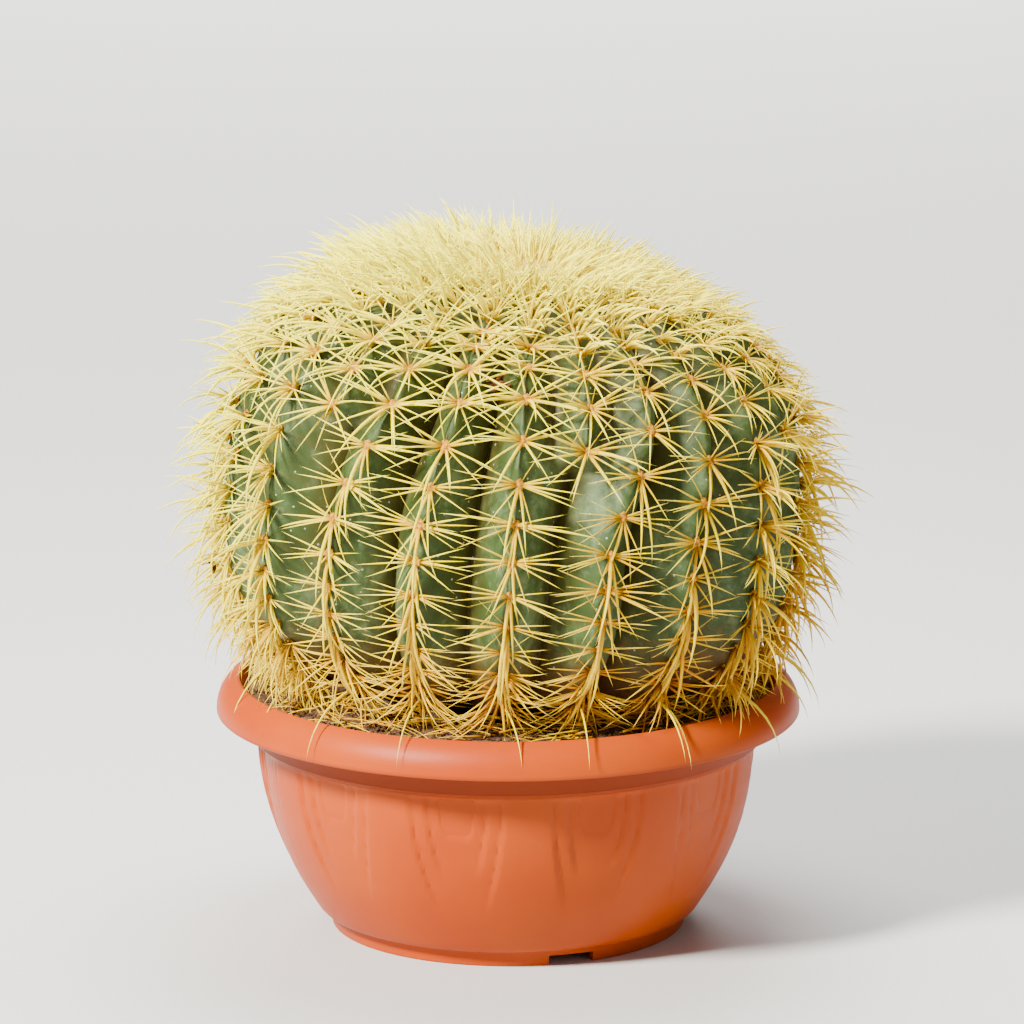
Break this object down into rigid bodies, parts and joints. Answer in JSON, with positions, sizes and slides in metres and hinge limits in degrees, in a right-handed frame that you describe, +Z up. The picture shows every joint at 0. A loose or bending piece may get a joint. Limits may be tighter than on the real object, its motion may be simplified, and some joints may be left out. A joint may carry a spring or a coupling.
{
  "type": "potted round cactus",
  "caption": "Globe-shaped ribbed cactus with rows of golden spines, growing in a round plastic bowl pot with a rolled collar.",
  "frame": {"origin": "on the pot's axis, at the level that its foot ring stands on", "axes": "+Z up along the pot's axis; -Y towards the viewer's side of the plant; +X to the viewer's right"},
  "size_m": [0.3589, 0.3572, 0.3726],
  "materials": {
    "pot_plastic": "satin",
    "soil": "matte",
    "stem_skin": "matte",
    "spines": "satin",
    "crown_wool": "matte",
    "dried_petals": "matte"
  },
  "bodies": {
    "root": {"pot": "pot_plastic", "potting_soil": "soil", "cactus_stem": "stem_skin", "spine_row_01": "spines", "spine_row_02": "spines", "spine_row_03": "spines", "spine_row_04": "spines", "spine_row_05": "spines", "spine_row_06": "spines", "spine_row_07": "spines", "spine_row_08": "spines", "spine_row_09": "spines", "spine_row_10": "spines", "spine_row_11": "spines", "spine_row_12": "spines", "spine_row_13": "spines", "spine_row_14": "spines", "spine_row_15": "spines", "spine_row_16": "spines", "spine_row_17": "spines", "spine_row_18": "spines", "spine_row_19": "spines", "short_spine_row_1": "spines", "short_spine_row_2": "spines", "short_spine_row_3": "spines", "short_spine_row_4": "spines", "short_spine_row_5": "spines", "short_spine_row_6": "spines", "crown_spines": "crown_wool", "dried_flower_front": "dried_petals", "dried_flower_top": "dried_petals", "dried_flower_left": "dried_petals"}
  },
  "joints": []
}
